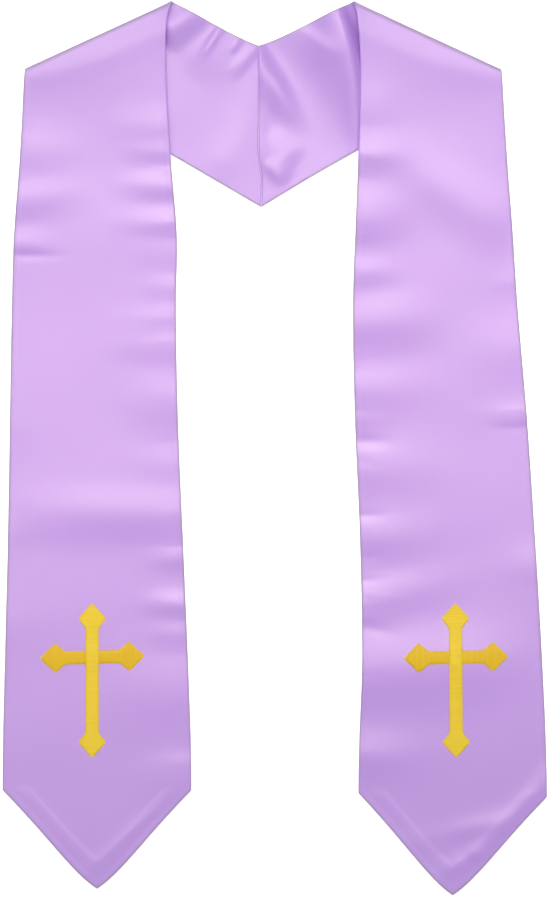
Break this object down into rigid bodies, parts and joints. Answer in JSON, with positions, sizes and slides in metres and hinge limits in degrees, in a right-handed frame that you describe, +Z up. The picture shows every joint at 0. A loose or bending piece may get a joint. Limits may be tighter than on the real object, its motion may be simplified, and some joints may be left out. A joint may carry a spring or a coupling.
{
  "type": "choir stole",
  "caption": "Flat-laid V-neck choir stole: two satin strips joined at the centre back, folded over at the shoulders, with pointed ends and embroidered crosses.",
  "frame": {"origin": "on the surface that the stole lies on, under the middle of its bounding box", "axes": "+Y from the pointed ends towards the neck, +Z up out of the surface, +X to the right as seen from above"},
  "size_m": [0.4802, 0.7888, 0.0123],
  "materials": {
    "satin_face": "lavender satin with a soft sheen",
    "satin_lining": "lavender satin with a soft sheen",
    "gold_arms": "deep gold satin stitch",
    "gold_upright": "light gold satin stitch"
  },
  "bodies": {
    "root": {"left_face": "satin_face", "left_lining": "satin_lining", "left_cross_bar": "gold_arms", "left_cross_upright": "gold_upright", "right_face": "satin_face", "right_lining": "satin_lining", "right_cross_bar": "gold_arms", "right_cross_upright": "gold_upright"}
  },
  "joints": []
}
